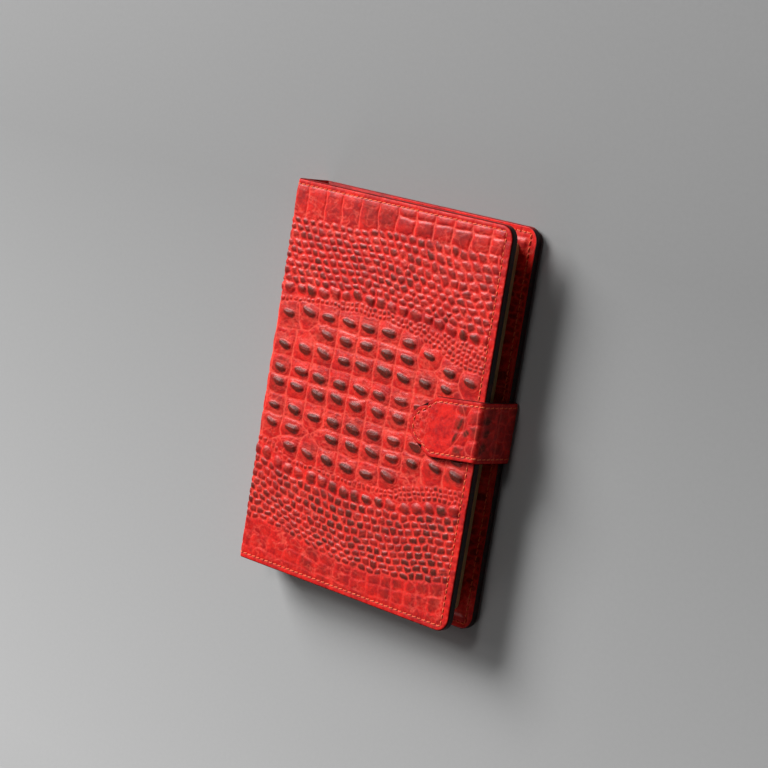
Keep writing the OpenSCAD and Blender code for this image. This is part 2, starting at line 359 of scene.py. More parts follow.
def lay_tall_scales(cells, rng):
    """The tall scales along the top, crossed by a crease towards the fore-edge."""
    u = TALL_FROM
    while u < U_TO:
        m = u + TALL_W / 2 + 0.5 * rng.uniform(-1, 1)
        base = BAND_TOP(m)
        parts = 2 if m > 78 or m < -100 else 1
        h = (COVER_H / MM + 1 - base) / parts
        for k in range(parts):
            cells.append([m, base + h * (k + 0.5), TALL_W / 2, h / 2, 0.02 * rng.uniform(-1, 1),
                          0.55 + 0.2 * smooth(m, 55, 95), 0.6, 0.5 * rng.uniform(0.3, 1.2), 0.6, 1.0])
        u += TALL_W


def lay_flat_squares(cells, rng):
    """Three rows of flat squares along the bottom."""
    def look(u):
        worn = smooth(u, 20, 75)
        return 0.22, 0.2, 0.25 + 0.35 * worn, 0.56, 0.3 + 0.25 * worn

    def pitch(u):
        return 13.5 - 4.5 * smooth(u, 75, 110)

    for k in range(3):
        row(cells, rng, lambda u: BAND_LOW(u) * (k + 0.5) / 3, lambda u: BAND_LOW(u) / 3, pitch,
            0.37 + 0.03 * k, look)


def lay_keels(cells, rng):
    """The squares in the middle of the hide. Returns the keel on each: place, half sizes, turn, height."""
    keels = []
    first = math.floor((U_FROM - TILE_FROM) / TILE_PITCH)
    last = math.ceil((U_TO - TILE_FROM) / TILE_PITCH)
    for column in range(first, last + 1):
        u = TILE_FROM + column * TILE_PITCH
        mirrored = u if u > U_MID / MM else 2 * U_MID / MM - u
        top, foot = ZONE_TOP(u) - 5, ZONE_LOW(u) + 4.9
        rows = [top, *KEEL_ROWS]
        if 33 < mirrored < 112:
            rows.append(137.5)
        if 17 < mirrored < 112:
            rows.append(foot)
        if not 33 < mirrored < 50:
            rows.append(81.5 + 2.5 * smooth(mirrored, 100, 130))
        size = 0.86 if mirrored > 113 or mirrored < 17 else 1.0
        for v in rows:
            if v > top + 0.1 or abs(v - top) > 0.1 and top - v < 7.2:
                continue
            u1, v1 = u + 0.8 * rng.uniform(-1, 1), v + 0.7 * rng.uniform(-1, 1)
            cells.append([u + 0.7 * rng.uniform(-1, 1), v, TILE_PITCH / 2, TILE_B, 0.05 * rng.uniform(-1, 1),
                          0.42, 0.5, 0.6 * rng.uniform(0.1, 1.4), 0.62, 1.0])
            keels.append([u1 + 0.4, v1, KEEL_A * size * rng.uniform(0.9, 1.06),
                          KEEL_B * size * rng.uniform(0.88, 1.12),
                          math.radians(-9 + 8 * rng.uniform(-1, 1)), KEEL_LIFT * rng.uniform(0.85, 1.05)])
    return keels


def press_keels(hide, keels, height, ink, crease):
    """The raised keels, each a lens with a pointed left end on a low mound, ringed by painted shade that is
    darkest on the lower right.
    """
    for u, v, a, b, turn, lift in keels:
        where = hide.window(u, v, 2.4 * a)
        here_u, here_v = hide.u[where], hide.v[where]
        x, y = turned(here_u - u, here_v - v, -turn)
        x, y = x / a, y / b
        y = y / (1 + 0.16 * np.clip(x, -1.2, 1.2)) - 0.16 * x * x + 0.06
        reach = np.where(x < 0, 2.1, 2.7)
        wobble = 0.072 * noise(here_u, here_v, 3.1, 31)
        r = (np.abs(x) ** reach + np.abs(y) ** 2.1) ** 0.5 + wobble
        body = np.clip(1 - r ** 2, 0, 1)
        ridge = 1 - 0.42 * np.abs(y - 0.22) ** 1.5
        groove = 0.08 * np.sin(11 * y + 3 * noise(here_u, here_v, 4, 33)) * body ** 0.5
        mound = 0.34 * np.exp(-np.clip(r - 0.8, 0, 9) ** 2 / 0.5)
        rings = 0.5 + 0.5 * np.cos(2 * math.pi * (2.3 * r + 0.55 * noise(here_u, here_v, 4, 35)))
        ringing = smooth(r, 0.95, 1.15) * (1 - smooth(r, 1.6, 2.2))
        under = np.maximum(height[where] * (1 - 0.5 * (r < 1)) + mound * 0.5, mound * 0.4)
        height[where] = under + lift * body ** 0.62 * ridge + groove + 0.07 * ringing * (1 - rings)
        speckle = noise(here_u, here_v, 1.6, 37)
        # painted shade: a dark ring round each keel, heavier on its lower right, goes into the ink layer with
        # the keel's dark dyed top
        painted_shade_halo = 0.42 * np.exp(-np.clip(r - 0.95, 0, 9) ** 2 / 0.12) * (0.6 + 0.4 * smooth(x - y, -0.4, 0.8))
        dark = np.maximum(painted_shade_halo * (1 + 0.4 * speckle), smooth(body + 0.12 * speckle, -0.04, 0.46))
        ink[where] = np.maximum(ink[where] * (1 - 0.4 * ringing), dark)
        # the light ring lines round the keels are partly the lighter colour of their creases and partly
        # painted glints
        ring_line = 0.55 * ringing * smooth(1 - rings, 0.8, 1.0)
        crease[where] = np.where(r < 1, 0, np.maximum(crease[where], ring_line))


def hide_map():
    """The hide of both covers and the spine."""
    hide = Map(U_FROM, U_TO, -1.0, COVER_H / MM + 1)
    rng = np.random.default_rng(20)
    cells = []
    lay_fields(cells, rng)
    lay_tall_scales(cells, rng)
    lay_flat_squares(cells, rng)
    keels = lay_keels(cells, rng)
    height, ink, crease = press_cells(hide, cells, 0.7, 0.3)
    press_keels(hide, keels, height, ink, crease)
    # wrinkles that wander over the flatter places, and finer ones between the keels, drawn as light lines
    # that are partly painted glints
    bent = hide.v + 1.6 * noise(hide.u, hide.v, 8, 42)
    wander = mottle(hide.u + 2.0 * noise(hide.u, hide.v, 7, 41), bent * 1.7, 6.0, 43)
    wrinkle = bell(wander, 0.11) * smooth(mottle(hide.u, hide.v, 17, 45), -0.6, 0.1)
    fine = bell(mottle(0.42 * hide.u, bent * 1.3, 3.2, 46), 0.2)
    tiles = smooth(hide.v - ZONE_LOW(hide.u), 0, 4) * smooth(ZONE_TOP(hide.u) - hide.v, 0, 4)
    fine *= smooth(mottle(hide.u, hide.v, 11, 48), -0.4, 0.5) * (0.1 + 0.9 * tiles)
    height += 0.04 * mottle(hide.u, hide.v, 1.3, 47) - 0.10 * wrinkle - 0.06 * fine
    crease = np.maximum(crease, np.maximum(0.8 * wrinkle, 0.75 * fine) * (1 - ink))
    # the dye is uneven over the hide
    ink *= np.clip(0.95 + 0.22 * mottle(hide.u, hide.v, 34, 49), 0.5, 1.2)
    # besides the dye, the ink layer holds the painted shade round the keels
    hide.layers = {"height": height, "ink": np.clip(ink, 0, 1), "crease": np.clip(crease, 0, 1)}
    return hide


# For the wrinkled tip, the smooth middle and the rest of the strap: how many scales lie across it,
# how high they stand, how dark they are and how light the creases between them.
STRAP_PARTS = {"tip": (6, 0.2, 0.15, 0.85), "middle": (3, 0.1, 0.05, 0.05), "rest": (4, 0.35, 0.85, 0.85)}
STRAP_BLOTCHES = ((35.5, 3, 5.2, 1.5, 1.25), (33.5, -4, 4.0, 1.3, 1.1), (41, -1, 2.6, 1.9, 0.5),
                  (53.5, 7, 3.1, 2.4, 0.2), (54, 0, 2.8, 2.2, 0.4), (52.5, -8, 3.6, 2.6, 1.2))


def strap_map():
    """The strap's own piece of hide. u is the distance from the tip, v from -half to half."""
    half = STRAP_HALF / MM
    length = (X_OUT - X_TIP + COVER_T + X_OUT - X_ANCHOR) / MM + 12
    hide = Map(-1.0, length, -half - 1, half + 1)
    rng = np.random.default_rng(7)
    cells = []
    u = -1.0
    while u < length:
        part = "tip" if u < 12 else "middle" if u < 30 else "rest"
        count, lift, ink, line = STRAP_PARTS[part]
        ink = 0.5 if u >= 44 else ink
        w = 4.6 if part == "tip" else 9.0 * rng.uniform(0.85, 1.15)
        h = 2 * half / count
        shift = 0.5 * h * (len(cells) % 2)
        for k in range(count + 1):
            cells.append([u + w / 2 + 0.12 * w * rng.uniform(-1, 1), -half + h * k + shift,
                          w / 2 * rng.uniform(0.85, 1.1), h / 2 * rng.uniform(0.9, 1.1),
                          0.2 * rng.uniform(-1, 1), lift, 0.8, ink * rng.uniform(0.2, 1.3),
                          0.6 if u > 42 else 0.45, line * rng.uniform(0.3, 1.2)])
        u += w
    height, ink, crease = press_cells(hide, cells, 1.0, 0.22)
    for u, v, a, b, turn in STRAP_BLOTCHES:
        x, y = turned(hide.u - u, hide.v - v, -turn)
        r = np.hypot(x / a, y / b) + 0.25 * mottle(hide.u, hide.v, 2.5, 51)
        ink = np.maximum(ink, 1.0 - smooth(r, 0.45, 1.3))
        height += 0.12 * np.exp(-r ** 2)
    # long creases, drawn as light lines that are partly painted glints: one where the strap turns down and
    # one that curves across the tongue
    for line in (hide.u - 46.2 - 0.9 * np.cos(hide.v / 9), hide.u - 38.5 + (hide.v - 4) ** 2 / 26):
        fold = bell(line, 0.3)
        crease = np.maximum(crease, 0.85 * fold)
        height -= 0.12 * fold
    # wrinkles that crowd towards the tip, with light lines that are partly painted glints
    wrinkle = bell(mottle(hide.u, hide.v, 3.0, 53), 0.09) * (1 - 0.8 * smooth(hide.u, 8, 20))
    height += 0.04 * mottle(hide.u, hide.v, 1.2, 55) - 0.08 * wrinkle
    crease = np.maximum(crease, 0.8 * wrinkle)
    hide.layers = {"height": height, "ink": np.clip(ink, 0, 1), "crease": np.clip(crease, 0, 1)}
    return hide


# ---------------------------------------------------------------- meshes

def link(name, data):
    """A new object in the scene."""
    obj = bpy.data.objects.new(name, data)
    bpy.context.scene.collection.objects.link(obj)
    return obj


def make_object(name, points, faces, materials, slots=None, fields=None, sharp=62):
    """A closed mesh from points and lists of faces. fields are named values per point."""
    loops = np.concatenate([np.ravel(f) for f in faces])
    sizes = np.concatenate([np.full(len(f), f.shape[1]) if f.ndim == 2 else [len(f)] for f in faces])
    mesh = bpy.data.meshes.new(name)
    mesh.vertices.add(len(points))
    mesh.vertices.foreach_set("co", np.asarray(points, np.float32).ravel())
    mesh.loops.add(len(loops))
    mesh.loops.foreach_set("vertex_index", loops.astype(np.int32))
    mesh.polygons.add(len(sizes))
    mesh.polygons.foreach_set("loop_start", (np.cumsum(sizes) - sizes).astype(np.int32))
    if slots is not None:
        mesh.polygons.foreach_set("material_index", slots.astype(np.int32))
    mesh.update(calc_edges=True)
    mesh.validate()
    for key, values in (fields or {}).items():
        kind, item = ("FLOAT_VECTOR", "vector") if values.ndim == 2 else ("FLOAT", "value")
        attribute = mesh.attributes.new(key, kind, "POINT")
        attribute.data.foreach_set(item, values.astype(np.float32).ravel())
    turn = bmesh.new()
    turn.from_mesh(mesh)
    bmesh.ops.recalc_face_normals(turn, faces=turn.faces)
    turn.to_mesh(mesh)
    turn.free()
    mesh.shade_smooth()
    mesh.set_sharp_from_angle(angle=math.radians(sharp))
    for material in materials:
        mesh.materials.append(material)
    return link(name, mesh)


def quads(index):
    """The faces of a grid of point numbers."""
    return np.stack([index[:-1, :-1], index[:-1, 1:], index[1:, 1:], index[1:, :-1]], -1).reshape(-1, 4)


def wall(first, second):
    """The faces between two lines of point numbers."""
    return np.stack([first[:-1], first[1:], second[1:], second[:-1]], -1)


def closed_rings(index):
    """The faces of a tube whose rings are the rows of index, with its two ends."""
    return [quads(np.concatenate([index, index[:, :1]], 1)), index[0], index[-1]]


def face_slots(faces, slots):
    return np.concatenate([np.full(len(f) if f.ndim == 2 else 1, slot) for f, slot in zip(faces, slots)])


def flat_place(u, v, layer=0.0):
    """Where points lie on the flat hide, for the materials. Each layer has its own patterns."""
    return np.stack([u, v, 0 * u + layer], -1)


def slab(name, top, under, materials, fields, wall_slot=1, under_slot=0, sharp=62):
    """A closed sheet between two grids of points (rows, columns, 3) of the same shape."""
    rows, cols = top.shape[:2]
    index = np.arange(rows * cols).reshape(rows, cols)
    lower = index + rows * cols
    ring = np.concatenate([index[0], index[1:, -1], index[-1, -2::-1], index[-2::-1, 0]])
    faces = [quads(index), quads(lower), wall(ring, ring + rows * cols)]
    slots = face_slots(faces, (0, under_slot, wall_slot))
    points = np.concatenate([top.reshape(-1, 3), under.reshape(-1, 3)])
    doubled = {k: np.concatenate([v.reshape(rows * cols, -1)] * 2).squeeze() for k, v in fields.items()}
    return make_object(name, points, faces, materials, slots, doubled, sharp)


# ---------------------------------------------------------------- the covers' surfaces

def fold_path(u, q, side):
    """Point and outward normal on a cover or its half of the spine, at depth q below the
    outer face. side is 1 on the front cover and -1 on the back cover."""
    turn = np.clip((FOLD_R - u) / FOLD_R, 0, math.pi / 2)
    x = X_SPINE + FOLD_R + np.maximum(u - FOLD_R, 0) - FOLD_R * np.sin(turn)
    down = FOLD_R * (1 - np.cos(turn)) + np.maximum(FOLD_R - FOLD_ARC - u, 0)
    nx, nz = -np.sin(turn), np.cos(turn)
    z = Z_FRONT - down
    x, z = x - nx * q, z - nz * q
    if side < 0:
        z, nz = Z_BACK + Z_FRONT - z, -nz
    return x, z, nx, nz


def cover_points(u, v, q, side):
    x, z, _, _ = fold_path(u, q, side)
    return np.stack([x, v - HALF_H, z], -1)


def edge_distance(u, v):
    """How far inside the cover's outline a point lies. The spine side has no edge."""
    qx, qy = u - (COVER_W - CORNER_R), np.abs(v - COVER_H / 2) - (COVER_H / 2 - CORNER_R)
    outside = np.hypot(np.maximum(qx, 0), np.maximum(qy, 0))
    return CORNER_R - (outside + np.minimum(np.maximum(qx, qy), 0))


def corner_rows(step):
    """Positions up the cover, close together where the corners are round."""
    turns = np.linspace(0, math.pi / 2, max(8, int(CORNER_R * math.pi / 2 / step)))
    ends = CORNER_R * (1 - np.cos(turns))
    middle = np.linspace(CORNER_R, COVER_H - CORNER_R, int((COVER_H - 2 * CORNER_R) / step))
    return np.concatenate([ends[:-1], middle, COVER_H - ends[-2::-1]])


def draw_in(u, v, inset=0.0):
    """Moves places near the fore-edge in along u, to follow the cover's round corners."""
    inside = np.clip(CORNER_R - np.minimum(v, COVER_H - v), 0, CORNER_R)
    end = COVER_W - inset - (CORNER_R - np.sqrt(np.maximum(CORNER_R ** 2 - inside ** 2, 0)))
    start = COVER_W - SQUEEZE
    return np.where(u > start, start + (u - start) * (end - start) / (SQUEEZE - inset), u)


def cover_grid(u_from, step):
    """A grid of places (u, v) over a cover, close together at its lip."""
    lip_from = COVER_W - 1.1 * MM
    body = np.linspace(u_from, COVER_W - SQUEEZE, int((COVER_W - SQUEEZE - u_from) / step))
    last = np.linspace(COVER_W - SQUEEZE, lip_from, int((SQUEEZE - 1.1 * MM) / step))
    lip = COVER_W - np.array([0.8, 0.55, 0.34, 0.18, 0.07, 0.0]) * MM
    u, v = np.meshgrid(np.concatenate([body[:-1], last, lip]), corner_rows(step))
    return draw_in(u, v), v


def seam_channel(u, v, e, width):
    """1 along the middle of the channel that the cover's seam lies in."""
    along = bell(np.minimum(v, COVER_H - v) - SEAM_INSET, width)
    return np.maximum(along, bell(COVER_W - u - FORE_INSET, width)) * smooth(e, 1.6 * MM, 2.4 * MM)


def lip_drop(e, drop=0.7 * MM, width=0.9 * MM):
    """How far the rounded lip of a cut edge falls, at a distance e inside the outline."""
    t = 1 - np.clip(e / width, 0, 1)
    return drop * (1 - np.sqrt(np.maximum(1 - t * t, 0)))


def tongue_middle(s):
    """How far the strap's middle lies from the middle of the covers, at s from its tip."""
    length = X_HINGE - X_TIP
    past_tip = 0.5 * (s + TIP_R + np.sqrt((s - TIP_R) ** 2 + (3 * MM) ** 2))
    return SLANT * np.maximum(length - past_tip, 0)


def strap_shadow(u, v, u_from, u_to, half):
    """1 under the tongue and 0 away from it."""
    middle = COVER_H / 2 + tongue_middle(u - u_from)
    across = 1 - smooth(np.abs(v - middle), half, half + 1.6 * MM)
    return across * smooth(u, u_from - 1.6 * MM, u_from) * (1 - smooth(u, u_to, u_to + 1.6 * MM))


def leather_half(name, hide, side, materials):
    """The outer leather of one cover and of the half of the spine that is next to it."""
    u, v = cover_grid(U_MID, (0.42 if FINE else 0.9) * MM)
    hide_u = u if side > 0 else 2 * U_MID - u
    height = hide.sample("height", hide_u, v) * MM
    e = edge_distance(u, v)
    margin = np.minimum(smooth(np.minimum(v, COVER_H - v), SEAM_INSET - 0.6 * MM, SEAM_INSET + 3.6 * MM),
                        smooth(COVER_W - u, FORE_INSET - 0.6 * MM, FORE_INSET + 2.0 * MM))
    if side > 0:
        pressed = strap_shadow(u, v, X_TIP - X_SPINE, COVER_W + MM, STRAP_HALF)
        height = np.minimum(height, 0.85 * STRAP_GAP) * pressed + height * (1 - pressed)
    else:
        pressed = 1 - smooth(np.abs(v - COVER_H / 2), STRAP_HALF, STRAP_HALF + 1.6 * MM)
        pressed *= smooth(u, X_ANCHOR - X_SPINE - 1.6 * MM, X_ANCHOR - X_SPINE)
        height = 0.7 * height * (1 - pressed)
    # the two halves of the spine meet on a shallow crease
    seam = 1 - bell(u - U_MID, 0.7 * MM)
    height = height * (0.3 + 0.7 * margin) * smooth(e, 0, 1.4 * MM) * seam
    height -= 0.22 * MM * seam_channel(u, v, e, 0.55 * MM)
    crease = np.maximum(hide.sample("crease", hide_u, v) * (0.35 + 0.65 * margin), 0.5 * (1 - seam))
    ink = hide.sample("ink", hide_u, v) * (0.25 + 0.75 * margin) * (0.3 + 0.7 * seam)
    rim = smooth(0.95 * MM - e, 0, 0.9 * MM)
    top = cover_points(u, v, lip_drop(e) - height, side)
    # the underside is plain, so strips across the hide are enough
    rows, cols = u.shape
    index = np.arange(rows * cols).reshape(rows, cols)
    under_u = np.concatenate([u[0], u[-1], u[1:-1, -1]])
    under_v = np.concatenate([v[0], v[-1], v[1:-1, -1]])
    under = cover_points(under_u, under_v, LEATHER_Q, side)
    foot = rows * cols + np.arange(cols)
    head = foot + cols
    fore = np.concatenate([[foot[-1]], rows * cols + 2 * cols + np.arange(rows - 2), [head[-1]]])
    faces = [quads(index), wall(foot, head), wall(index[0], foot), wall(index[-1], head),
             wall(index[:, -1], fore), np.concatenate([index[:, 0], [head[0], foot[0]]]), fore]

    def with_under(values, rest=0.0):
        return np.concatenate([values.ravel(), np.full(len(under), rest)])

    place = np.concatenate([flat_place(hide_u, v).reshape(-1, 3), flat_place(under_u, under_v)])
    fields = {"ink": with_under(ink), "crease": with_under(crease), "rim": with_under(rim, 1.0),
              "place": place}
    points = np.concatenate([top.reshape(-1, 3), under])
    return make_object(name, points, faces, materials, face_slots(faces, (0, 1, 1, 1, 1, 0, 1)), fields, 75)


def outline(u_from, step):
    """The cover's edge from the spine side round the fore-edge and back, as (u, v, out_u, out_v)."""
    run = np.linspace(u_from, COVER_W - CORNER_R, int((COVER_W - CORNER_R - u_from) / step))
    turns = np.linspace(-math.pi / 2, 0, 14)[1:]
    rise = np.linspace(CORNER_R, COVER_H / 2, int((COVER_H / 2 - CORNER_R) / step))[1:]
    u = np.concatenate([run, COVER_W - CORNER_R + CORNER_R * np.cos(turns), 0 * rise + COVER_W])
    v = np.concatenate([0 * run, CORNER_R + CORNER_R * np.sin(turns), rise])
    out_u = np.concatenate([0 * run, np.cos(turns), 0 * rise + 1])
    out_v = np.concatenate([0 * run - 1, np.sin(turns), 0 * rise])
    u, out_u = np.concatenate([u, u[-2::-1]]), np.concatenate([out_u, out_u[-2::-1]])
    v, out_v = np.concatenate([v, COVER_H - v[-2::-1]]), np.concatenate([out_v, -out_v[-2::-1]])
    return u, v, out_u, out_v


def on_board(u):
    """0 over the spine and 1 over the cover's board."""
    return smooth(u, X_BOARD - X_SPINE, X_BOARD - X_SPINE + 1.5 * MM)


def cover_depth(u):
    """Thickness of the cover's layers along its edge."""
    pocket_side = smooth(u, X_POCKET - X_SPINE - 0.3 * MM, X_POCKET - X_SPINE + 0.3 * MM)
    return SPINE_Q + (INNER_Q - SPINE_Q) * on_board(u) + (RIM_Q - INNER_Q) * pocket_side


def painted_edge(name, side, material):
    """The painted and burnished edge of a cover's layers, as a slim strip round three sides."""
    u, v, out_u, out_v = outline(U_MID, (1.5 if FINE else 4) * MM)
    depth = cover_depth(u)
    wave = 0.06 * mottle(u / MM + 300, v / MM, 6.0, 61)
    # how far out each line of the strip stands, in millimetres, and how deep it lies
    profile = ((-0.45, 0.62 * MM), (-0.05, 0.64 * MM), (0.07 + wave, 0.9 * MM), (0.13 + wave, 1.5 * MM),
               (0.05 + wave, LEATHER_Q + 0.1 * MM), (0.13 + wave, 0.5 * (LEATHER_Q + depth)),
               (0.14 + wave, depth - 0.9 * MM), (0.08 + wave, depth - 0.35 * MM),
               (-0.05, depth - 0.1 * MM), (-0.45, depth - 0.12 * MM))
    rings = [cover_points(u + out_u * out * MM, v + out_v * out * MM, np.minimum(deep, depth), side)
             for out, deep in profile]
    grid = np.stack(rings, 1)
    index = np.arange(grid.size // 3).reshape(grid.shape[:2])
    place = flat_place(u, v)[:, None].repeat(len(profile), 1).reshape(-1, 3)
    return make_object(name, grid.reshape(-1, 3), closed_rings(index), [material], None, {"place": place}, 50)


def lining_half(name, side, material):
    """The smooth lining of one cover, dipping over the board's edge into the spine."""
    us = np.concatenate([np.arange(U_MID, 6 * MM, 0.25 * MM), np.linspace(6 * MM, COVER_W - SQUEEZE, 40),
                         COVER_W - np.array([6.0 * MM, 1.0 * MM, LINING_INSET])])
    vs = np.concatenate([[0.3 * MM], np.linspace(1 * MM, COVER_H - 1 * MM, 120), [COVER_H - 0.3 * MM]])
    u, v = np.meshgrid(us, vs)
    u = draw_in(u, v, LINING_INSET)
    dent = 0.1 * MM * bell(np.minimum(v, COVER_H - v) - SEAM_INSET, 0.5 * MM)
    soft = 0.05 * MM * mottle(u / MM, v / MM, 9.0, 63)
    top_q = SPINE_Q + (INNER_Q - SPINE_Q) * on_board(u) - dent + soft - 0.06 * MM
    top = cover_points(u, v, top_q, side)
    under = cover_points(u, v, top_q - (INNER_Q - LINING_Q) + 0.15 * MM, side)
    return slab(name, top, under, [material], {"place": flat_place(u + 200 * MM, v)}, 0, 0, 60)


def pocket(name, hide, side, materials):
    """Pocket leather sewn down round three sides and raised over the notebook's card."""
    u_from = X_POCKET - X_SPINE
    u, v = cover_grid(u_from, (0.6 if FINE else 1.4) * MM)
    e = edge_distance(u, v)
    # the pocket is cut from another part of the hide
    hide_u, hide_v = (u * 0.9 - 175 * MM if side < 0 else u - 160 * MM), COVER_H - v
    height = hide.sample("height", hide_u, hide_v) * MM
    dent = 0.32 * (np.clip(height, 0, 0.5 * MM) - 0.5 * MM)
    rise = smooth(e, POCKET_RIM - 0.3 * MM, POCKET_RIM + 2.2 * MM)
    calm = smooth(e, 0.4 * MM, 2 * MM)
    lips = 0.8 * lip_drop(e, 0.45 * MM, 0.7 * MM) + lip_drop(u - u_from, 0.45 * MM, 0.7 * MM)
    q = RIM_Q + (POCKET_Q - RIM_Q) * rise + dent * calm - lips - 0.03 * MM
    q -= 0.2 * MM * seam_channel(u, v, e, 0.5 * MM)
    over_card = smooth(e, POCKET_RIM + 0.4 * MM, POCKET_RIM + 1.6 * MM)
    under_q = INNER_Q + (CARD_Q - INNER_Q + 0.05 * MM) * over_card
    top = cover_points(u, v, np.maximum(q, under_q + 0.3 * MM), side)
    under = cover_points(np.minimum(u, COVER_W - 0.2 * MM), v, under_q, side)
    fields = {"ink": 0.8 * hide.sample("ink", hide_u, hide_v) * calm,
              "crease": hide.sample("crease", hide_u, hide_v) * calm,
              "rim": smooth(0.45 * MM - np.minimum(e, u - u_from), 0, 0.4 * MM),
              "place": flat_place(hide_u, hide_v, 30 * MM)}
    return slab(name, top, under, materials, fields, 1, 1, 70)


# ---------------------------------------------------------------- the strap's surface

STRAP_TONGUE = X_OUT - STRAP_R - X_TIP
STRAP_ARC = STRAP_R * math.pi / 2
STRAP_SIDE = Z_STRAP_TOP - Z_STRAP_LOW - 2 * STRAP_R
S_MID = STRAP_TONGUE + STRAP_ARC + STRAP_SIDE / 2
S_END = STRAP_TONGUE + 2 * STRAP_ARC + STRAP_SIDE + X_OUT - STRAP_R - X_ANCHOR
S_CORNER = S_END - STRAP_CORNER
S_ANCHOR = S_END - (X_OUT - X_ANCHOR)
TAPER_TURN = (math.atan2(STRAP_HALF, TAPER_L - TIP_R)
              + math.acos(TIP_R / math.hypot(TAPER_L - TIP_R, STRAP_HALF)))
S_TANGENT = TIP_R + TIP_R * math.cos(TAPER_TURN)


def strap_path(s, q):
    """Point on the strap at s from its tip, over the front cover, down the side and under
    the back cover, at depth q below its outer face."""
    down = s - STRAP_TONGUE - STRAP_ARC
    turn = (np.clip(s - STRAP_TONGUE, 0, STRAP_ARC) + np.clip(down - STRAP_SIDE, 0, STRAP_ARC)) / STRAP_R
    nx, nz = np.sin(turn), np.cos(turn)
    first = np.minimum(turn, math.pi / 2)
    second = np.maximum(turn - math.pi / 2, 0)
    under = np.maximum(down - STRAP_SIDE - STRAP_ARC, 0)
    x = X_TIP + np.minimum(s, STRAP_TONGUE) + STRAP_R * (np.sin(first) - 1 + np.cos(second)) - under
    z = Z_STRAP_TOP - STRAP_R * (1 - np.cos(first) + np.sin(second)) - np.clip(down, 0, STRAP_SIDE)
    return x - nx * q, z - nz * q


def strap_half(s):
    """Half width of the strap at s from its tip."""
    round_part = np.sqrt(np.maximum(TIP_R ** 2 - (TIP_R - s) ** 2, 0))
    join = TIP_R * math.sin(TAPER_TURN)
    taper = join + (STRAP_HALF - join) * (s - S_TANGENT) / (TAPER_L - S_TANGENT)
    shape = np.where(s < S_TANGENT, round_part, np.where(s < TAPER_L, taper, STRAP_HALF))
    past = np.clip(s - S_CORNER, 0, STRAP_CORNER)
    corner = np.sqrt(np.maximum(STRAP_CORNER ** 2 - past ** 2, 0))
    return np.minimum(shape, STRAP_HALF - STRAP_CORNER + corner)


def strap_piece(name, hide, s_from, s_to, materials):
    """The strap between two places along it, leather outside and lining inside."""
    step = (0.42 if FINE else 1.0) * MM
    start, end = max(s_from, S_TANGENT), min(s_to, S_CORNER)
    along = np.linspace(start, end, int((end - start) / step))
    if s_from == 0:
        turns = np.linspace(0.1, math.pi - TAPER_TURN, 22)
        along = np.concatenate([TIP_R * (1 - np.cos(turns))[:-1], along])
    if s_to == S_END:
        turns = np.linspace(0, math.pi / 2, 9)
        along = np.concatenate([along[:-1], S_CORNER + STRAP_CORNER * np.sin(turns)])
    lip = np.array([0.0, 0.006, 0.016, 0.032, 0.05])
    across = np.concatenate([lip, np.linspace(0.07, 1.93, int(2 * STRAP_HALF / step)), 2 - lip[::-1]]) - 1
    s, w = np.meshgrid(along, across)
    y = w * strap_half(s)
    e = (1 - np.abs(w)) * strap_half(s)
    e = np.where(s < TIP_R, np.minimum(e, TIP_R - np.hypot(TIP_R - s, y)), e)
    e = np.maximum(np.minimum(e, S_END - s), 0)
    margin = smooth(e, STRAP_INSET - 0.5 * MM, STRAP_INSET + 1.2 * MM)
    # the two pieces of the strap meet on a shallow crease half way up its side
    seam = 1 - bell(s - S_MID, 0.6 * MM)
    height = hide.sample("height", s, y) * MM * (0.35 + 0.65 * margin) * smooth(e, 0, 1.2 * MM)
    height = (height - 0.2 * MM * bell(e - STRAP_INSET, 0.5 * MM)) * seam
    # flat where it lies against the floor under the back cover
    down = smooth(s, S_ANCHOR, S_ANCHOR + 2 * MM)
    height = height * (1 - down) - 0.05 * MM * down
    low_bend = S_MID + STRAP_SIDE / 2
    thick = STRAP_T + (ANCHOR_T - STRAP_T) * smooth(s, low_bend - 1 * MM, low_bend + STRAP_ARC)
    y_slanted = y + tongue_middle(s)

    def sheet(q):
        x, z = strap_path(s, q)
        return np.stack([x, y_slanted, z], -1)

    top = sheet(lip_drop(e, 0.5 * MM, 0.8 * MM) - height)
    under = sheet(thick - 0.02 * MM - lip_drop(e, 0.25 * MM, 0.5 * MM))
    crease = np.maximum(hide.sample("crease", s, y) * (0.4 + 0.6 * margin), 0.45 * (1 - seam))
    fields = {"ink": hide.sample("ink", s, y) * (0.3 + 0.7 * margin), "crease": crease,
              "rim": smooth(0.85 * MM - e, 0, 0.8 * MM), "place": flat_place(s, y, 60 * MM)}
    return slab(name, top, under, materials, fields, 1, 2, 70)


# ---------------------------------------------------------------- thread

def thread_piece(name, stitches, material):
    """Two twisted plies for each stitch (centre, along, up), as closed tubes."""
    steps, sides = (9, 7) if FINE else (6, 5)
    t = np.linspace(0, 1, steps)
    sink = 0.34 * MM
    rise = np.sin(math.pi * t) ** 0.55 * (sink + 0.1 * MM) - sink
    radius = 0.25 * MM * np.sqrt(np.clip(1 - (2 * t - 1) ** 6, 0.08, 1))
    angle = np.linspace(0, 2 * math.pi, sides, endpoint=False)
    points, faces = [], []
    for centre, along, up in stitches:
        across = np.cross(up, along)
        round_it = np.cos(angle)[:, None] * across + np.sin(angle)[:, None] * up
        for ply in (0, 1):
            twist = math.pi * (1.1 * t + ply)
            middle = (centre + along * ((t - 0.5) * STITCH_L)[:, None]
                      + across * (0.18 * MM * np.cos(twist))[:, None]
                      + up * (rise + 0.08 * MM * np.sin(twist))[:, None])
            ring = middle[:, None] + round_it * radius[:, None, None]
            index = np.arange(steps * sides).reshape(steps, sides)
            faces += closed_rings(len(points) * steps * sides + index)
            points.append(ring.reshape(-1, 3))
    return make_object(name, np.concatenate(points), faces, [material], None, None, 60)


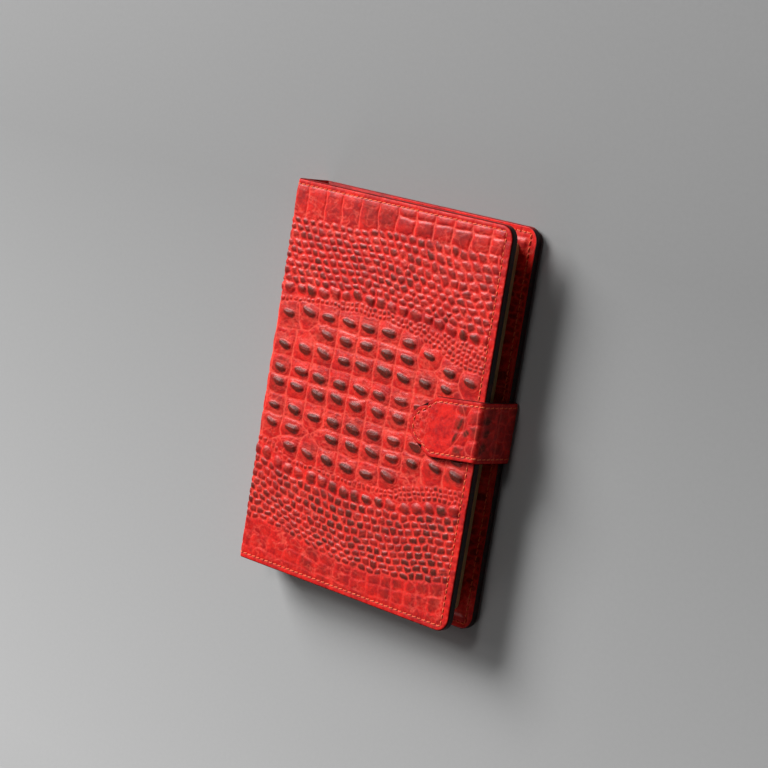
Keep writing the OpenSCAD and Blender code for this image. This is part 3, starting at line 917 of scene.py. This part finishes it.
def line_places(start, end):
    """Evenly spaced stitches on a straight seam: middle points and direction."""
    start, end = np.array(start), np.array(end)
    run = np.linalg.norm(end - start)
    count = int(run / STITCH_PITCH)
    return [(start + (end - start) * (k + 0.5) / count, (end - start) / run) for k in range(count)]


def cover_stitches(side, gap):
    """The seam of a cover and its half of the spine, on both faces, with a gap in the fore-edge's."""
    u_seam, v_low, v_high = COVER_W - FORE_INSET, SEAM_INSET, COVER_H - SEAM_INSET
    fore = line_places((u_seam, v_low), (u_seam, v_high))
    places = line_places((U_MID, v_low), (u_seam, v_low)) + line_places((U_MID, v_high), (u_seam, v_high))
    places += [(place, unit) for place, unit in fore if abs(place[1] - COVER_H / 2) >= gap]
    found = []
    for place, unit in places:
        found.append(surface_stitch(place, unit, side, False))
        if not -3 * MM < place[0] < X_BOARD - X_SPINE + 2.5 * MM:
            found.append(surface_stitch(place, unit, side, True))
    return found


def surface_stitch(place, unit, side, inside):
    """One stitch on the outer or inner face of a cover."""
    u, v = place
    along_u, along_v = turned(*unit, -STITCH_TURN if inside else STITCH_TURN)
    q = cover_depth(u) + 0.02 * MM if inside else 0.0
    centre = cover_points(u, v, q, side)
    along = cover_points(u + along_u * AHEAD, v + along_v * AHEAD, q, side) - centre
    _, _, nx, nz = fold_path(u, 0.0, side)
    up = np.array([nx, 0.0, nz])
    return centre, along / np.linalg.norm(along), -up if inside else up


def strap_seam():
    """Places and directions of the stitches round the whole strap, on its flat plan."""
    half, r = STRAP_HALF - STRAP_INSET, TIP_R - STRAP_INSET
    sweep = 2 * (math.pi - TAPER_TURN)
    count = int(r * sweep / STITCH_PITCH)
    places = []
    for k in range(count):
        a = TAPER_TURN + sweep * (k + 0.5) / count
        out = np.array([math.cos(a), math.sin(a)])
        places.append((np.array([TIP_R, 0]) + r * out, np.array([-out[1], out[0]])))
    join_s, join_y = TIP_R + r * math.cos(TAPER_TURN), r * math.sin(TAPER_TURN)
    taper_end, s_last = TAPER_L + 0.7 * MM, S_END - STRAP_INSET
    for m in (-1, 1):
        places += line_places((join_s, m * join_y), (taper_end, m * half))
        places += line_places((taper_end, m * half), (s_last, m * half))
    for s in (s_last, S_END - (X_FORE - X_ANCHOR) + 12 * MM):
        places += line_places((s, -half), (s, half))
    return places


def strap_stitches(s_from, s_to):
    """The seam of one piece of the strap on its outer face and, on the tongue, its lining."""
    found = []
    for (s, y), unit in strap_seam():
        if not s_from <= s < s_to:
            continue
        for q, flip in ((0.0, 1), (STRAP_T, -1)):
            anchored = s > S_MID + STRAP_SIDE / 2 - 1 * MM
            beside_cover = STRAP_TONGUE - 1 * MM < s < S_MID
            if flip < 0 and (anchored or beside_cover):
                continue
            along_s, along_y = turned(*unit, STITCH_TURN * flip)

            def point(s, y, q):
                x, z = strap_path(s, q)
                return np.array([x, y + tongue_middle(s), z])

            centre = point(s, y, q)
            along = point(s + along_s * AHEAD, y + along_y * AHEAD, q) - centre
            up = (centre - point(s, y, q + MM)) / MM * flip
            found.append((centre, along / np.linalg.norm(along), up))
    return found


# ---------------------------------------------------------------- the notebook's leaves

def leaf_block(name, material):
    """The leaves as many thin slabs that don't lie quite flush."""
    lowest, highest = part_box("page_block")
    rng = np.random.default_rng(5)
    count = 46 if FINE else 20
    pitch = (highest.z - lowest.z) / count
    corner = 4 * MM
    turns = np.linspace(-math.pi / 2, 0, 6)
    points, faces = [], []
    for k in range(count):
        # the fore-edge is gently hollow where the book has been opened and pressed shut
        hollow = 0.5 * MM * math.sin(math.pi * (k + 0.5) / count)
        x1 = highest.x - hollow - 0.32 * MM * rng.random()
        y0 = lowest.y + 0.3 * MM * rng.random()
        y1 = highest.y - 0.3 * MM * rng.random()
        z0 = lowest.z + pitch * k + 0.015 * MM
        z1 = z0 + pitch * rng.uniform(0.72, 0.93)
        x0 = lowest.x + 0.02 * MM
        arc_x, arc_y = x1 - corner + corner * np.cos(turns), corner + corner * np.sin(turns)
        x = np.concatenate([[x0], arc_x, arc_x[::-1], [x0]])
        y = np.concatenate([[y0], y0 + arc_y, y1 - arc_y[::-1], [y1]])
        index = len(x) * 2 * k + np.arange(2 * len(x)).reshape(2, -1)
        faces += closed_rings(index)
        points += [np.column_stack([x, y, 0 * x + z]) for z in (z0, z1)]
    return make_object(name, np.concatenate(points), faces, [material], None, None, 30)


# ---------------------------------------------------------------- materials

class Nodes:
    """A short way to write a node material."""

    def __init__(self, name):
        self.material = bpy.data.materials.new(name)
        self.material.use_nodes = True
        self.tree = self.material.node_tree
        self.shader = next(n for n in self.tree.nodes if n.type == "BSDF_PRINCIPLED")

    def add(self, kind, inputs=None, **settings):
        node = self.tree.nodes.new(kind)
        for key, value in settings.items():
            setattr(node, key, value)
        for key, value in (inputs or {}).items():
            self.put(node.inputs[key], value)
        return node

    def put(self, socket, value):
        if isinstance(value, bpy.types.NodeSocket):
            self.tree.links.new(value, socket)
        else:
            socket.default_value = value

    def set(self, **inputs):
        for key, value in inputs.items():
            self.put(self.shader.inputs[key.replace("_", " ")], value)

    def attribute(self, name, output="Fac"):
        return self.add("ShaderNodeAttribute", attribute_name=name).outputs[output]

    def object_place(self):
        return self.add("ShaderNodeTexCoord").outputs["Object"]

    def noise(self, place, scale, detail=3, roughness=0.55):
        return self.add("ShaderNodeTexNoise", {"Vector": place, "Scale": scale, "Detail": detail,
                                               "Roughness": roughness}).outputs["Fac"]

    def stretched(self, place, scale):
        """A place scaled by its own amount in each direction, for stretched grain."""
        return self.add("ShaderNodeMapping", {"Vector": place, "Scale": scale}).outputs[0]

    def math(self, operation, a, b, clamp=False):
        return self.add("ShaderNodeMath", {0: a, 1: b}, operation=operation, use_clamp=clamp).outputs[0]

    def span(self, value, from_low, from_high, to_low, to_high):
        return self.add("ShaderNodeMapRange", {"Value": value, "From Min": from_low, "From Max": from_high,
                                               "To Min": to_low, "To Max": to_high}).outputs[0]

    def mix(self, factor, a, b):
        node = self.add("ShaderNodeMix", data_type="RGBA")
        self.put(node.inputs[0], factor)
        for socket, colour in ((node.inputs[6], a), (node.inputs[7], b)):
            self.put(socket, colour if isinstance(colour, bpy.types.NodeSocket) else (*colour, 1))
        return node.outputs[2]

    def bump(self, height, strength, distance, normal=None):
        inputs = {"Height": height, "Strength": strength, "Distance": distance}
        if normal is not None:
            inputs["Normal"] = normal
        return self.add("ShaderNodeBump", inputs).outputs["Normal"]


BRIGHT_RED = (0.84, 0.018, 0.012)
DEEP_RED = (0.42, 0.005, 0.008)
INK_AND_SHADE_BROWN = (0.062, 0.017, 0.010)
CREASE_AND_GLINT_PINK = (0.95, 0.105, 0.068)
EDGE_BROWN = (0.020, 0.007, 0.006)


def croc_leather():
    m = Nodes("croc_leather")
    place = m.attribute("place", "Vector")
    patches = m.noise(place, 60, 3, 0.6)
    blotches = m.noise(place, 260, 5, 0.7)
    grain = m.noise(place, 900, 4, 0.65)
    pores = m.noise(place, 2600, 2, 0.5)
    shade = m.math("ADD", m.math("MULTIPLY", patches, 0.4), m.math("MULTIPLY", blotches, 0.6))
    red = m.mix(m.span(shade, 0.41, 0.59, 0, 1), BRIGHT_RED, DEEP_RED)
    streak = m.span(grain, 0.3, 0.75, 0.72, 1.08)
    # the ink attribute is mostly dye, but round the keels it is painted shade; both darken towards this brown
    dyed = m.math("MULTIPLY", m.attribute("ink"), streak, True)
    colour = m.mix(dyed, red, INK_AND_SHADE_BROWN)
    # the pinkish crease lines are partly the grooves' lighter colour and partly painted glints on the
    # wrinkles' ridges
    crease_and_glint = m.math("MULTIPLY", m.attribute("crease"), m.span(grain, 0.3, 0.7, 0.55, 1.0), True)
    colour = m.mix(crease_and_glint, colour, CREASE_AND_GLINT_PINK)
    rim = m.attribute("rim")
    colour = m.mix(m.math("POWER", rim, 3.0), colour, EDGE_BROWN)
    rough = m.math("ADD", m.span(patches, 0.3, 0.7, 0.37, 0.45), m.span(grain, 0.3, 0.7, -0.03, 0.09))
    rough = m.math("ADD", rough, m.math("MULTIPLY", rim, 0.35))
    rough = m.math("ADD", rough, m.math("MULTIPLY", dyed, 0.05))
    gloss = m.math("MULTIPLY", m.span(dyed, 0, 1, 0.21, 0.105), m.span(rim, 0, 0.6, 1, 0.1))
    fine = m.bump(pores, 0.25, 0.03 * MM)
    coarse = m.bump(blotches, 0.5, 0.22 * MM, fine)
    m.set(Base_Color=colour, Roughness=rough, Normal=m.bump(grain, 0.5, 0.11 * MM, coarse))
    m.set(Coat_Weight=m.span(rim, 0, 0.6, 0.04, 0), Coat_Roughness=0.15, Specular_IOR_Level=gloss)
    return m.material


def lining_leather():
    m = Nodes("lining_leather")
    place = m.attribute("place", "Vector")
    soft = m.noise(place, 90, 5, 0.7)
    grain = m.noise(place, 1500, 3, 0.6)
    colour = m.mix(m.span(soft, 0.4, 0.62, 0, 1), (0.60, 0.012, 0.011), (0.26, 0.006, 0.007))
    m.set(Base_Color=colour, Roughness=m.span(grain, 0.3, 0.7, 0.5, 0.66),
          Normal=m.bump(grain, 0.35, 0.06 * MM))
    return m.material


def edge_paint():
    m = Nodes("edge_paint")
    place = m.object_place()
    patches = m.noise(place, 260, 4, 0.7)
    layers = m.noise(m.stretched(place, (120, 120, 2200)), 1.0, 2, 0.5)
    colour = m.mix(m.span(patches, 0.45, 0.75, 0, 1), (0.010, 0.005, 0.005), (0.07, 0.009, 0.008))
    # worn through to the red along the top and bottom edges
    along = m.add("ShaderNodeSeparateXYZ", {0: m.attribute("place", "Vector")}).outputs["Y"]
    from_middle = m.math("ABSOLUTE", m.math("SUBTRACT", along, HALF_H), 0.0)
    worn = m.math("MULTIPLY", m.span(from_middle, HALF_H - 1.5 * MM, HALF_H - 0.4 * MM, 0, 1),
                  m.span(patches, 0.35, 0.55, 0.3, 1), True)
    colour = m.mix(worn, colour, (0.34, 0.010, 0.009))
    m.set(Base_Color=colour, Roughness=m.span(patches, 0.3, 0.7, 0.45, 0.6),
          Normal=m.bump(layers, 0.5, 0.1 * MM))
    m.set(Specular_IOR_Level=0.25)
    return m.material


def seam_thread():
    m = Nodes("seam_thread")
    place = m.object_place()
    fibre = m.noise(place, 3000, 2, 0.6)
    tone = m.noise(place, 160, 2, 0.5)
    colour = m.mix(m.span(tone, 0.35, 0.65, 0, 1), (0.84, 0.125, 0.055), (0.92, 0.205, 0.095))
    m.set(Base_Color=colour, Roughness=m.span(fibre, 0.3, 0.7, 0.5, 0.7),
          Normal=m.bump(fibre, 0.5, 0.06 * MM))
    m.set(Specular_IOR_Level=0.1)
    return m.material


def paper():
    m = Nodes("page_paper")
    place = m.object_place()
    sheets = m.noise(m.stretched(place, (60, 60, 9000)), 1.0, 3, 0.7)
    stain = m.noise(place, 22, 3, 0.6)
    colour = m.mix(m.span(sheets, 0.3, 0.7, 0, 1), (0.66, 0.47, 0.22), (0.44, 0.28, 0.11))
    colour = m.mix(m.span(stain, 0.4, 0.8, 0, 0.5), colour, (0.42, 0.24, 0.09))
    m.set(Base_Color=colour, Roughness=m.span(sheets, 0.3, 0.7, 0.8, 0.95),
          Normal=m.bump(sheets, 0.4, 0.08 * MM))
    return m.material


def plain_fibre(name, light, dark, scale, rough):
    """Board, card and cloth: two tones of a fibre with a fine bump."""
    m = Nodes(name)
    place = m.object_place()
    fibre = m.noise(place, scale, 4, 0.7)
    m.set(Base_Color=m.mix(m.span(fibre, 0.35, 0.65, 0, 1), light, dark),
          Roughness=m.span(fibre, 0.3, 0.7, rough, rough + 0.12), Normal=m.bump(fibre, 0.4, 0.08 * MM))
    return m.material


def woven_cloth():
    m = Nodes("spine_cloth")
    place = m.object_place()
    ribs = {"Vector": place, "Scale": 500.0, "Distortion": 0.4}
    weft = m.add("ShaderNodeTexWave", ribs, bands_direction="Y").outputs["Fac"]
    warp = m.add("ShaderNodeTexWave", ribs, bands_direction="Z").outputs["Fac"]
    weave = m.math("MULTIPLY", weft, warp)
    m.set(Base_Color=m.mix(weave, (0.012, 0.012, 0.013), (0.05, 0.05, 0.052)),
          Roughness=m.span(weave, 0, 1, 0.9, 0.7), Normal=m.bump(weave, 0.6, 0.12 * MM))
    return m.material


def metal(name, colour, rough):
    m = Nodes(name)
    brush = m.noise(m.stretched(m.object_place(), (4000, 200, 200)), 1.0, 2, 0.5)
    m.set(Base_Color=m.mix(brush, colour, tuple(0.8 * c for c in colour)),
          Roughness=m.span(brush, 0.3, 0.7, rough, rough + 0.15), Normal=m.bump(brush, 0.15, 0.02 * MM))
    m.set(Metallic=1.0)
    return m.material


def studio_floor():
    m = Nodes("studio_floor")
    speck = m.noise(m.object_place(), 400, 3, 0.6)
    # painted light: the floor's colour gets paler towards the front, standing in for light that is brighter
    # there
    along = m.add("ShaderNodeSeparateXYZ", {0: m.object_place()}).outputs["Y"]
    tone = m.mix(m.span(along, 0.10, -0.28, 0, 1), (0.26, 0.26, 0.26), (0.46, 0.46, 0.46))
    m.set(Base_Color=m.mix(m.span(speck, 0, 1, 0, 0.08), tone, (0.2, 0.2, 0.2)),
          Roughness=m.span(speck, 0.3, 0.7, 0.75, 0.85))
    return m.material


# ---------------------------------------------------------------- camera, light and floor

VIEW_AZIMUTH = 101.65
VIEW_ELEVATION = 46.95
VIEW_ROLL = -89.24
VIEW_DISTANCE = 1.4024
VIEW_AIM = Vector((X_SPINE + 0.0899, 0.01055, Z_FRONT))
VIEW_LENS = 120.6


def make_camera():
    a, e = math.radians(VIEW_AZIMUTH), math.radians(VIEW_ELEVATION)
    back = Vector((math.sin(a) * math.cos(e), -math.cos(a) * math.cos(e), math.sin(e)))
    data = bpy.data.cameras.new("camera")
    data.sensor_width = 36
    data.lens = VIEW_LENS
    camera = bpy.data.objects.new("camera", data)
    bpy.context.scene.collection.objects.link(camera)
    camera.location = VIEW_AIM + back * VIEW_DISTANCE
    level = (-back).to_track_quat("-Z", "Y")
    camera.rotation_mode = "QUATERNION"
    camera.rotation_quaternion = level @ Matrix.Rotation(math.radians(VIEW_ROLL), 3, "Z").to_quaternion()
    bpy.context.scene.camera = camera


def area_light(name, direction, distance, size, power):
    """A square soft light that faces the object."""
    data = bpy.data.lights.new(name, "AREA")
    data.size = size
    data.energy = power
    light = bpy.data.objects.new(name, data)
    bpy.context.scene.collection.objects.link(light)
    towards = Vector(direction).normalized()
    light.location = towards * distance
    light.rotation_mode = "QUATERNION"
    light.rotation_quaternion = towards.to_track_quat("Z", "Y")


def make_studio():
    area_light("key", (-0.65, 0.50, 0.50), 3.0, 1.5, 154)
    area_light("top", (0.0, 0.38, 0.92), 1.7, 0.3, 4.0)
    area_light("sheen", (-0.62, 0.12, 0.78), 2.2, 0.3, 2.4)
    area_light("floor_fill", (-0.42, -0.80, 0.50), 1.3, 0.5, 1.7)
    world = bpy.data.worlds.new("studio")
    world.use_nodes = True
    world.node_tree.nodes["Background"].inputs["Color"].default_value = (1, 1, 1, 1)
    world.node_tree.nodes["Background"].inputs["Strength"].default_value = 0.048
    bpy.context.scene.world = world
    bpy.context.scene.view_settings.view_transform = "Standard"
    size = 12.0
    mesh = bpy.data.meshes.new("floor")
    corners = [(-size, -size, 0), (size, -size, 0), (size, size, 0), (-size, size, 0)]
    mesh.from_pydata(corners, [], [(0, 1, 2, 3)])
    floor = bpy.data.objects.new("floor", mesh)
    bpy.context.scene.collection.objects.link(floor)
    floor.location.z = min(0.0, CAD_BOX[0][2])
    mesh.materials.append(studio_floor())


# ---------------------------------------------------------------- the object

def join_over(piece, side, *nodes):
    """Bakes a piece of a cover, which reaches round into its half of the spine, in place and hides the parts
    it replaces.
    """
    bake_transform(piece)
    if nodes:
        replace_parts(piece, *nodes)
    return piece


def build_object():
    hide, strap_hide = hide_map(), strap_map()
    croc, lining, paint = croc_leather(), lining_leather(), edge_paint()
    thread = seam_thread()
    for side, label, spine_nodes in ((1, "front", ["outer_spine"]), (-1, "back", [])):
        body = label + "_cover"
        leather = leather_half("leather_" + label, hide, side, [croc, paint])
        join_over(leather, side, "outer_" + label, *spine_nodes)
        edge = painted_edge("painted_edge_" + label, side, paint)
        join_over(edge, side)
        inner = lining_half("smooth_lining_" + label, side, lining)
        spine = ["lining_spine"] if side > 0 else []
        join_over(inner, side, "lining_" + label, *spine)
        sewn = pocket("card_pocket_" + label, hide, side, [croc, paint])
        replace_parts(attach(sewn, body), "pocket_" + label)
        gap = 0 if side > 0 else STRAP_HALF + MM
        seam = thread_piece("cover_seam_" + label, cover_stitches(side, gap), thread)
        spine = ["stitching_spine"] if side > 0 else []
        join_over(seam, side, "stitching_" + label, *spine)

    lower = strap_piece("strap_lower", strap_hide, S_MID, S_END, [croc, paint, lining])
    upper = strap_piece("strap_tongue", strap_hide, 0, S_MID, [croc, paint, lining])
    lower_thread = thread_piece("strap_seam_lower", strap_stitches(S_MID, S_END), thread)
    upper_thread = thread_piece("strap_seam_tongue", strap_stitches(0, S_MID), thread)
    for piece in (lower, lower_thread):
        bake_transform(piece)
    for piece in (upper, upper_thread):
        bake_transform(piece)
    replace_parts(lower, "strap_anchor", "strap_side_outer", "strap_side_lining")
    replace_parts(upper, "strap_tip_outer", "strap_tip_lining")
    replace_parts(lower_thread, "stitching_anchor", "stitching_strap_side")
    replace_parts(upper_thread, "stitching_strap_tip")

    leaves = leaf_block("notebook_leaves", paper())
    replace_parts(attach(leaves, "back_cover"), "page_block")

    board = plain_fibre("board", (0.20, 0.17, 0.13), (0.13, 0.11, 0.09), 900, 0.8)
    card = plain_fibre("card_stock", (0.16, 0.09, 0.05), (0.11, 0.06, 0.035), 1400, 0.6)
    finishes = {"board_back": board, "board_front": board, "notebook_back_card": card,
                "notebook_front_card": card, "notebook_spine_tape": woven_cloth(),
                "front_keeper": metal("keeper_steel", (0.56, 0.57, 0.58), 0.3),
                "strap_magnet": metal("magnet_nickel", (0.66, 0.62, 0.56), 0.2)}
    for node, finish in finishes.items():
        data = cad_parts[node].data
        data.materials.clear()
        data.materials.append(finish)


make_camera()
make_studio()
build_object()
